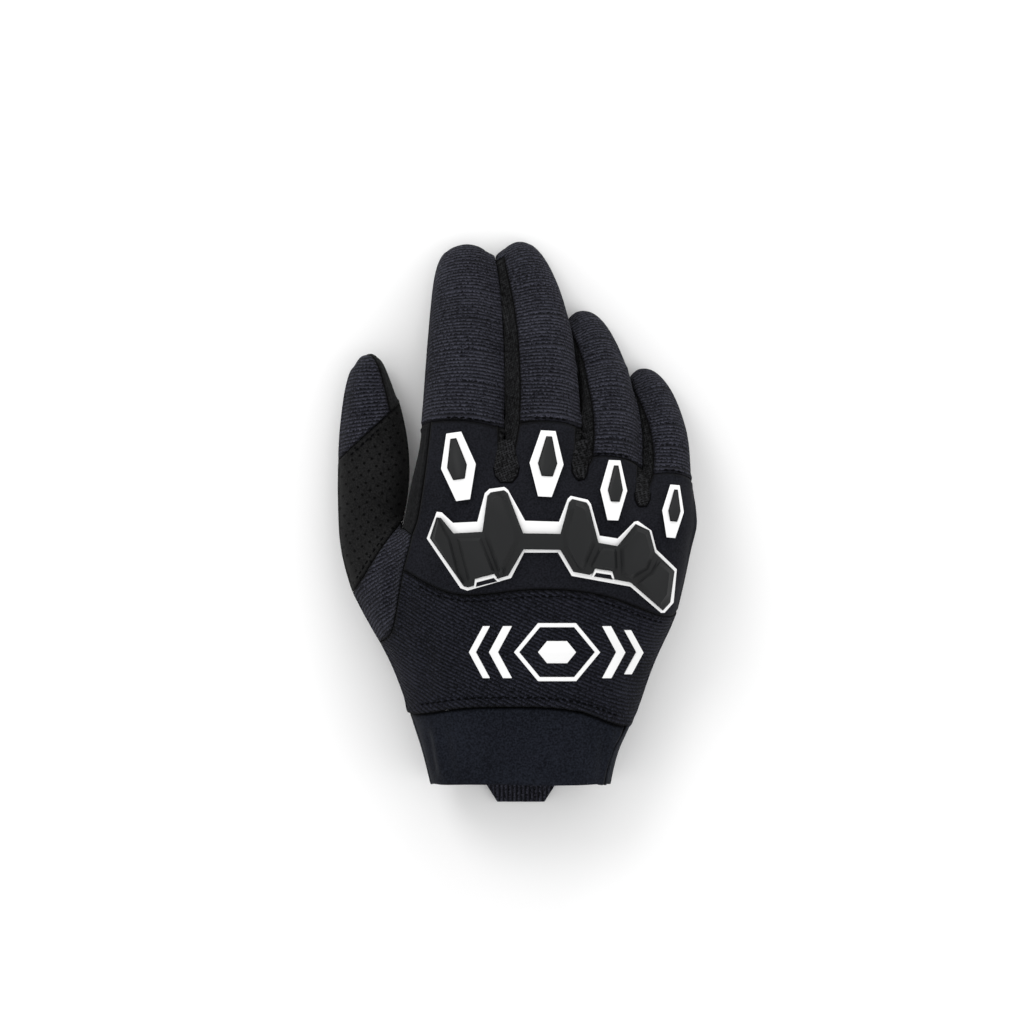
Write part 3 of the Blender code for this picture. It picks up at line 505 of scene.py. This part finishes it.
def closeGaps(made):
    # bulges the fingers' sides towards each other, so that the floor doesn't show between them
    fingers = ("index", "middle", "ring", "little")
    names = [n for n in made if n.startswith("fourchette") or n in ("palm", "knuckle_panel")
             or n in [finger + "_back" for finger in fingers]]
    points = [readPoints(made[n].data) for n in names]
    starts = np.cumsum([0] + [len(p) for p in points])
    places = np.concatenate(points)
    best, owner = np.full(len(places), meeting["finger"]), np.full(len(places), -1)
    radial = np.zeros_like(places)
    for k, finger in enumerate(fingers):
        nearest, far, _ = nearestOnLine(places, fingerLines[finger], False)
        nearer = (far < best) & (places[:, 1] > fingerLines[finger][0][1] / 1000 - meeting["root"])
        best[nearer], owner[nearer] = far[nearer], k
        radial[nearer] = (places - nearest)[nearer]
    faces = [[] for _ in fingers]
    for n, first in zip(names, starts):
        for face in made[n].data.polygons:
            corners = [first + v for v in face.vertices]
            if owner[corners[0]] >= 0 and owner[corners[0]] == owner[corners[2]]:
                faces[owner[corners[0]]].append(corners)
    vectors = [Vector(p) for p in places]
    trees = [BVHTree.FromPolygons(vectors, f) for f in faces]
    samples, moves = [], []
    for k in range(0, len(places), meeting["step"]):
        finger, r = owner[k], radial[k]
        flat = math.hypot(r[0], r[1])
        if finger < 0 or flat < 1e-5:
            continue
        ahead = Vector((r[0] / flat, r[1] / flat, 0.0))
        other = finger + (1 if ahead.x > 0 else -1)
        start = vectors[k] + ahead * meeting["start"]
        if trees[finger].ray_cast(start, ahead, meeting["wall"])[0] is not None:
            continue  # on the inner layer
        samples.append(vectors[k])
        moves.append(Vector())
        if other in (-1, len(fingers)):
            continue
        hit = trees[other].ray_cast(vectors[k], ahead, meeting["widest"])
        if hit[0] is None or hit[1].dot(ahead) > 0:
            continue
        fade = min((meeting["widest"] - hit[3]) / (meeting["widest"] - meeting["closed"]), 1.0)
        level = (flat / np.linalg.norm(r) - meeting["levelFrom"]) / meeting["levelOver"]
        side = min(max(level, 0.0), 1.0)
        moves[-1] = ahead * max(hit[3] - meeting["gap"], 0.0) / 2 * fade * side
    tree = pointTree(samples)
    for n, first, own in zip(names, starts, points):
        moved = own.copy()
        for k in np.nonzero(owner[first:first + len(own)] >= 0)[0]:
            near = tree.find_n(own[k], meeting["blended"])
            if near[0][2] < meeting["blend"]:
                moved[k] += np.array(sum((moves[found[1]] for found in near), Vector())) / len(near)
        writePoints(made[n].data, moved)


def seamTree(made):
    # points on every seam: those of a panel with a neighbour's close by. The rims are then drawn together
    trees = {}
    for name, piece in made.items():
        points = readPoints(piece.data)
        low, high = points.min(0) - knit["margin"], points.max(0) + knit["margin"]
        trees[name] = (points, pointTree(points), low, high)
    found, lap = [], []
    for name, (points, *_) in trees.items():
        nearest = np.full(len(points), knit["seamReach"])
        moved = points.copy()
        for other, (_, otherTree, otherLow, otherHigh) in trees.items():
            if other == name:
                continue
            for k in np.nonzero(np.all((points > otherLow) & (points < otherHigh), axis=1))[0]:
                place, _, far = otherTree.find(points[k])
                if far < nearest[k]:
                    nearest[k] = far
                    if {name, other} == {"back_panel", "cuff_back"}:
                        lap.append(points[k])
                    share = max(0.5 - knit["seamGap"] / 2 / max(far, 1e-6), 0.0)
                    moved[k] = points[k] + (np.array(place) - points[k]) * share
        onSeam = nearest < knit["seamReach"]
        found += list(points[onSeam])
        writePoints(made[name].data, moved)
    return pointTree(found), pointTree(lap)


def foldShift(p, folds):
    # how far the soft folds near a place push it out
    total = 0.0
    for (ax, ay), (bx, by), width, rise in folds:
        a, b = planPlace(ax, ay), planPlace(bx, by)
        along = b - a
        share = min(max((Vector(p[:2]) - a).dot(along) / along.length_squared, 0.0), 1.0)
        far = (Vector(p[:2]) - a - along * share).length
        fade = min(share, 1.0 - share) / knit["foldEnd"]
        total += rise * math.exp(-((far / width) ** 2)) * min(fade, 1.0)
    return total


def outward(p):
    # roughly out of the wrist at a place
    away = np.array((p[0] * hem["squash"], 0.0, p[2] - hem["middle"]))
    return away / np.linalg.norm(away)


def shapePanel(piece, name, seams, lap, ribAlong):
    mesh = piece.data
    points, normals = readPoints(mesh), readNormals(mesh)
    fromSeam = np.array([seams.find(p)[2] for p in points])
    shift = knit["ridge"] * np.exp(-(((fromSeam - knit["ridgeFrom"]) / knit["ridgeWidth"]) ** 2))
    lapped = np.zeros_like(points)
    for k, p in enumerate(points):
        away = min(fromSeam[k] / knit["unevenFrom"], 1.0)
        shift[k] += knit["unevenness"] * away * noise.noise(Vector(p) / knit["unevenSize"])
        if name in hem["rise"]:
            rise, width = hem["rise"][name]
            near = max(1.0 - lap.find(p)[2] / width, 0.0)
            lapped[k] = outward(p) * rise * near * near * (3 - 2 * near)
        if name in folds and normals[k][2] > knit["foldUp"]:
            shift[k] += foldShift(p, folds[name])
    shift[points[:, 2] < knit["floorHeight"]] = 0.0
    moved = points + normals * shift[:, None] + lapped
    moved[:, 2] = np.maximum(moved[:, 2], np.minimum(points[:, 2], 0.0))
    writePoints(mesh, moved)
    # how much shade is painted along the seams, fading away from them
    shade = mesh.attributes.new("seamShade", "FLOAT", "POINT")
    shade.data.foreach_set("value", np.exp(-((fromSeam / knit["seamShade"]) ** 2)))
    if ribAlong is not None:
        if isinstance(ribAlong, str):
            along = nearestOnLine(points, fingerLines[ribAlong], True)[2]
        else:
            along = points @ np.array(ribAlong)
        attribute = mesh.attributes.new("ribCount", "FLOAT", "POINT")
        attribute.data.foreach_set("value", along / knit["pitch"] + knit["firstRib"])


corners = cornerPoints(list(panels))
made = {name: smoothCopy(name, corners) for name in panels}
print("stage: panels smoothed")
closeGaps(made)
print("stage: fingers brought together")
seams, lap = seamTree(made)
print("stage: seams found")
for name, (material, slotName, ribAlong) in panels.items():
    shapePanel(made[name], name, seams, lap, ribAlong)
    finish(made[name], material, slotName, name)
print("stage: panels shaped")

# rubber guards

# bevels and smoothing of the moulded pieces, and the pull tab's ribs
guards = {"bevel": 0.00022, "segments": 2, "flat": math.radians(3), "bevelAngle": math.radians(28),
          "smoothAngle": math.radians(40), "tabPitch": 0.0016}


def guardCopy(name, material, slotName):
    piece = bpy.data.objects.new(name + "_moulded", nodes[name].data.copy())
    scene.collection.objects.link(piece)
    pick(piece)
    bpy.ops.object.mode_set(mode="EDIT")
    bpy.ops.mesh.select_all(action="SELECT")
    bpy.ops.mesh.remove_doubles(threshold=copying["merge"])
    bpy.ops.mesh.dissolve_limited(angle_limit=guards["flat"])
    bpy.ops.object.mode_set(mode="OBJECT")
    soften = piece.modifiers.new("soften", "BEVEL")
    soften.width = guards["bevel"]
    soften.segments = guards["segments"]
    soften.limit_method = "ANGLE"
    soften.angle_limit = guards["bevelAngle"]
    soften.use_clamp_overlap = True
    applyAll(piece)
    bpy.ops.object.shade_smooth_by_angle(angle=guards["smoothAngle"])
    return finish(piece, material, slotName, name)


for name in nodes:
    if name.startswith("guard_frame") or name == "knuckle_guard_base":
        guardCopy(name, whiteRubber, "white_rubber")
    elif name.startswith("guard_insert") or name == "knuckle_guard_shell":
        guardCopy(name, darkRubber, "dark_rubber")
tab = guardCopy("pull_tab", ribKnit, "stretch_cloth")
ribCount = tab.data.attributes.new("ribCount", "FLOAT", "POINT")
ribCount.data.foreach_set("value", readPoints(tab.data)[:, 0] / guards["tabPitch"] + knit["firstRib"])
print("stage: guards")

# raised print, windows, mesh ends and stitches, laid on the surface that the camera sees at each pixel

# bevel of the strips' edges, and their smoothing
strips = {"segments": 2, "bevelAngle": math.radians(40), "smoothAngle": math.radians(45), "sharpest": 0.3}


def surfaceTree(pieces):
    places, faces = [], []
    for piece in pieces:
        first = len(places)
        places += [v.co.copy() for v in piece.data.vertices]
        faces += [[first + k for k in face.vertices] for face in piece.data.polygons]
    return BVHTree.FromPolygons(places, faces)


def seenAt(tree, px, py):
    eye = Vector((*view["middle"], view["distance"]))
    hit = tree.ray_cast(eye, (Vector((*planPlace(px, py), 0.0)) - eye).normalized())
    return hit[0], hit[1]


def spread(corners, closed, step):
    # points along a line of pixels, a step apart at most, with every corner kept
    line = [Vector(c) for c in corners]
    found = []
    for k in range(len(line) if closed else len(line) - 1):
        a, b = line[k], line[(k + 1) % len(line)]
        count = max(int(math.ceil((b - a).length / step)), 1)
        found += [a.lerp(b, j / count) for j in range(count)]
    return found if closed else found + [line[-1]]


def inset(corners, distance):
    # an outline moved inwards, its points running clockwise in the picture
    line, moved = [Vector(c) for c in corners], []
    for k, here in enumerate(line):
        before, after = line[k - 1], line[(k + 1) % len(line)]
        first, second = (here - before).normalized(), (after - here).normalized()
        inward = Vector((-first.y, first.x)) + Vector((-second.y, second.x))
        moved.append(here + inward / max(inward.length_squared / 2, strips["sharpest"]) * distance)
    return moved


def stripMesh(bm, tree, outer, inner, closed, rise, sunk):
    # a raised strip between two rows of pixels, with its sides going down into the surface
    rows = []
    for lift, lines in ((-sunk, (outer,)), (rise, (outer, inner)), (-sunk, (inner,))):
        for line in lines:
            row = []
            for p in line:
                place, normal = seenAt(tree, p.x, p.y)
                row.append(bm.verts.new(place + normal * (lift if normal.z > 0 else -lift)))
            rows.append(row)
    count = len(outer)
    for k in range(count if closed else count - 1):
        j = (k + 1) % count
        for a, b in ((0, 1), (1, 2), (2, 3), (3, 0)):
            bm.faces.new((rows[a][k], rows[a][j], rows[b][j], rows[b][k]))
    if not closed:
        bm.faces.new([rows[a][0] for a in range(4)])
        bm.faces.new([rows[a][-1] for a in (3, 2, 1, 0)])


def fromBmesh(bm, name, material, slotName, bevel=0.0):
    bmesh.ops.recalc_face_normals(bm, faces=bm.faces)
    mesh = bpy.data.meshes.new(name)
    bm.to_mesh(mesh)
    bm.free()
    piece = bpy.data.objects.new(name, mesh)
    scene.collection.objects.link(piece)
    if bevel:
        soften = piece.modifiers.new("soften", "BEVEL")
        soften.width, soften.segments, soften.limit_method = bevel, strips["segments"], "ANGLE"
        soften.angle_limit = strips["bevelAngle"]
        applyAll(piece)
    pick(piece)
    bpy.ops.object.shade_smooth_by_angle(angle=strips["smoothAngle"])
    return finish(piece, material, slotName)


clothTree = surfaceTree(made.values())

# a plain ornament in the picture's pixels: an outlined hexagon, and solid shapes between two lines each
ornament = {"line": 4.0, "rise": 0.00045, "sunk": 0.0004, "step": 3.0, "bevel": 0.0001, "outlines": (
    ((514, 652), (538, 623), (576, 623), (600, 652), (576, 681), (538, 681)),
), "solids": (
    (((547, 641), (538, 652), (547, 663)), ((567, 641), (576, 652), (567, 663))),
    (((503, 626), (489, 652), (503, 678)), ((512, 626), (498, 652), (512, 678))),
    (((483, 626), (469, 652), (483, 678)), ((490, 626), (476, 652), (490, 678))),
    (((602, 626), (616, 652), (602, 678)), ((611, 626), (625, 652), (611, 678))),
    (((624, 630), (636, 652), (624, 674)), ((631, 630), (643, 652), (631, 674))),
)}
bm = bmesh.new()
for outline in ornament["outlines"]:
    outer = spread(outline, True, ornament["step"])
    count = len(outline)
    innerCorners = inset(outline, ornament["line"])
    inner = []
    for k in range(count):
        a, b = Vector(outline[k]), Vector(outline[(k + 1) % count])
        c, d = innerCorners[k], innerCorners[(k + 1) % count]
        steps = max(int(math.ceil((b - a).length / ornament["step"])), 1)
        inner += [c.lerp(d, j / steps) for j in range(steps)]
    stripMesh(bm, clothTree, outer, inner, True, ornament["rise"], ornament["sunk"])
for left, right in ornament["solids"]:
    edges = [spread(edge, False, ornament["step"]) for edge in (left, right)]
    stripMesh(bm, clothTree, *edges, False, ornament["rise"], ornament["sunk"])
fromBmesh(bm, "back_ornament", whiteRubber, "white_rubber", ornament["bevel"])

# the two dark windows at the lower edge of the knuckle guard, each in a thin white frame: the frame's outer
# and inner lines in pixels. They lie in a plane through the outer line's corners
windows = {"rise": 0.0005, "frameRise": 0.0008, "sunk": 0.0009, "reach": 0.03, "shapes": (
    (((473.6, 586.6), (474.9, 579.2), (494.4, 574.1), (500.0, 579.9)),
     ((475.4, 586.0), (476.5, 580.9), (493.6, 576.4), (497.7, 580.4))),
    (((591.4, 576.0), (595.0, 569.3), (612.4, 571.9), (615.0, 579.4)),
     ((593.5, 575.6), (596.1, 571.3), (610.9, 573.5), (612.9, 578.8))),
)}
guardTree = surfaceTree([bpy.data.objects["knuckle_guard_base_moulded"],
                         bpy.data.objects["knuckle_guard_shell_moulded"]])
panes, frames = bmesh.new(), bmesh.new()
for outer, inner in windows["shapes"]:
    hits = [p for p in (seenAt(guardTree, *corner)[0] for corner in outer) if p is not None]
    middle = sum(hits, Vector()) / len(hits)
    first = (hits[1] - hits[0]).normalized()
    second = first.cross(hits[2] - hits[0]).cross(first).normalized()
    plane = BVHTree.FromPolygons([middle + (first * a + second * b) * windows["reach"] for a, b in
                                  ((-1, -1), (1, -1), (1, 1), (-1, 1))], [(0, 1, 2, 3)])
    outer, inner = [Vector(c) for c in outer], [Vector(c) for c in inner]
    stripMesh(panes, plane, inner[1::-1], inner[2:], False, windows["rise"], windows["sunk"])
    stripMesh(frames, plane, outer, inner, False, windows["frameRise"], windows["sunk"])
fromBmesh(panes, "guard_windows", stretchCloth, "stretch_cloth")
fromBmesh(frames, "guard_window_frames", whiteRubber, "white_rubber")
print("stage: ornament")

# rounded ends of the mesh strips between the fingers: left and right edges in pixels, from the fingers down
# round each end's lower part runs a dark strip of painted shade where the seam folds: its width in pixels and
# its rise
meshEnds = {"rise": 0.0005, "shadeRise": 0.0003, "edge": 1.3, "sunk": 0.0003, "steps": 4, "shapes": (
    (((499, 440), (496, 456), (494, 468), (496, 476), (501, 482)),
     ((513, 440), (517, 456), (519, 468), (517, 476), (512, 482))),
    (((577, 440), (573, 452), (572, 464), (573, 473), (577, 479)),
     ((588, 440), (588, 452), (588, 464), (587, 473), (584, 479))),
    (((638, 474), (636, 484), (635, 494), (636, 501), (639, 506)),
     ((646, 474), (648, 484), (650, 494), (649, 501), (646, 506))),
)}
ends, endShade = bmesh.new(), bmesh.new()
for left, right in meshEnds["shapes"]:
    lines = [[Vector(a).lerp(Vector(b), j / meshEnds["steps"]) for a, b in zip(line[:-1], line[1:])
              for j in range(meshEnds["steps"])] + [Vector(line[-1])] for line in (left, right)]
    stripMesh(ends, clothTree, *lines, False, meshEnds["rise"], meshEnds["sunk"])
    # painted shade: a dark strip just outside the end's lower part
    path = lines[0][meshEnds["steps"] * 2:] + lines[1][:meshEnds["steps"] * 2 - 1:-1]
    middle = sum(path, Vector((0, 0))) / len(path)
    wider = [p + (p - middle).normalized() * meshEnds["edge"] for p in path]
    stripMesh(endShade, clothTree, wider, path, False, meshEnds["shadeRise"], meshEnds["sunk"])
fromBmesh(ends, "mesh_ends", airMesh, "mesh")
fromBmesh(endShade, "mesh_end_shade", darkThreadAndShade, "mesh")
print("stage: mesh ends")

# rows of stitches: the panel they are on, the panel beside it, and how far from the seam they run
stitching = {"pitch": 0.0026, "length": 0.0016, "radius": 0.0003, "sides": 6, "sink": 0.3, "bin": 0.004,
             "step": 0.0004, "above": 0.1, "profile": (
    (0.0, 0.35), (0.15, 0.9), (0.5, 1.0), (0.85, 0.9), (1.0, 0.35),
), "rows": (
    ("back_panel", "knuckle_panel", 0.0022), ("back_panel", "cuff_back", 0.0034),
    ("index_back", "knuckle_panel", 0.0011), ("middle_back", "knuckle_panel", 0.0011),
    ("ring_back", "knuckle_panel", 0.0011), ("little_back", "knuckle_panel", 0.0011),
    ("thumb_overlay", "thumb_back", 0.0016), ("thumb_overlay", "thumb_gusset", 0.0016),
)}


def seamLine(panel, other, away):
    # places in a row beside the upper part of a seam, from left to right
    points = readPoints(nodes[panel].data)
    tree = pointTree(readPoints(nodes[other].data))
    near = [p for p in points if tree.find(p)[2] < knit["cornerReach"]]
    bins = {}
    for p in near:
        bins.setdefault(int(p[0] / stitching["bin"]), []).append(p)
    line = [max(group, key=lambda p: p[2])[:2] for _, group in sorted(bins.items())]
    inward = np.mean(points, axis=0)[:2] - np.mean(line, axis=0)
    moved = []
    for k in range(1, len(line) - 1):
        ahead = line[k + 1] - line[k - 1]
        across = np.array((-ahead[1], ahead[0])) / np.linalg.norm(ahead)
        middle = (line[k - 1] + line[k] * 2 + line[k + 1]) / 4
        moved.append(Vector(middle + across * away * (1 if across @ inward > 0 else -1)))
    return moved


def stitchRow(bm, tree, line):
    # one stitch after another along a line on the floor, each a short tapered thread on the surface above it
    places = []
    for p in spread(line, False, stitching["step"]):
        place, normal = tree.ray_cast(Vector((p.x, p.y, stitching["above"])), Vector((0, 0, -1)))[:2]
        if place is not None:
            places.append((place, normal))
    lengths = [0.0]
    for (a, _), (b, _) in zip(places[:-1], places[1:]):
        lengths.append(lengths[-1] + (b - a).length)
    start = 0.0
    while start + stitching["length"] < lengths[-1]:
        thread = []
        for share, size in stitching["profile"]:
            want = start + share * stitching["length"]
            k = max(j for j in range(len(lengths)) if lengths[j] <= want + 1e-9)
            k = min(k, len(places) - 2)
            part = (want - lengths[k]) / max(lengths[k + 1] - lengths[k], 1e-9)
            thread.append((places[k][0].lerp(places[k + 1][0], part), places[k][1], size))
        ahead = (thread[-1][0] - thread[0][0]).normalized()
        rings = []
        for place, normal, size in thread:
            across = ahead.cross(normal).normalized()
            up = across.cross(ahead)
            middle = place + normal * stitching["radius"] * (size - stitching["sink"])
            turns = [2 * math.pi * j / stitching["sides"] for j in range(stitching["sides"])]
            rings.append([bm.verts.new(middle + (across * math.cos(a) + up * math.sin(a)) *
                                       stitching["radius"] * size) for a in turns])
        for a, b in zip(rings[:-1], rings[1:]):
            for j in range(stitching["sides"]):
                i = (j + 1) % stitching["sides"]
                bm.faces.new((a[j], a[i], b[i], b[j]))
        bm.faces.new(rings[0][::-1])
        bm.faces.new(rings[-1])
        start += stitching["pitch"]


bm = bmesh.new()
for panel, other, away in stitching["rows"]:
    stitchRow(bm, clothTree, seamLine(panel, other, away))
fromBmesh(bm, "stitches", darkThreadAndShade, "stretch_cloth")
print("stage: stitches")

# floor, light and camera

# each lamp's place, size and power
light = {"floor": (0.97, 0.97, 0.97), "floorSize": 6.0, "world": 0.93, "lamps": {
    "key": ((-0.7, 0.9, 1.3), 0.7, 5.5), "fill": ((0.9, -0.3, 1.2), 0.9, 1.8),
    "rim": ((0.2, 1.3, 0.7), 0.6, 3.6),
}}

deselect()
bpy.ops.mesh.primitive_plane_add(size=light["floorSize"], location=(0, 0, 0))
floor = bpy.context.object
floor.name = "floor"
paper, shader = newMaterial("paper", 0.9, 0.0, 0.1)
shader.inputs["Base Color"].default_value = (*light["floor"], 1.0)
floor.data.materials.append(paper)

scene.view_settings.view_transform = "Standard"
world = scene.world or bpy.data.worlds.new("studio")
scene.world = world
world.use_nodes = True
backdrop = world.node_tree.nodes["Background"]
backdrop.inputs["Color"].default_value = (1.0, 1.0, 1.0, 1.0)
backdrop.inputs["Strength"].default_value = light["world"]

for name, (place, size, power) in light["lamps"].items():
    lamp = bpy.data.lights.new(name, "AREA")
    lamp.size, lamp.energy = size, power
    holder = bpy.data.objects.new(name, lamp)
    scene.collection.objects.link(holder)
    holder.location = place
    holder.rotation_euler = (-Vector(place)).to_track_quat("-Z", "Y").to_euler()

camera = bpy.data.objects.new("camera", bpy.data.cameras.new("camera"))
scene.collection.objects.link(camera)
camera.location = (*view["middle"], view["distance"])
camera.data.lens = view["lens"]
scene.camera = camera
print("stage: light and camera")
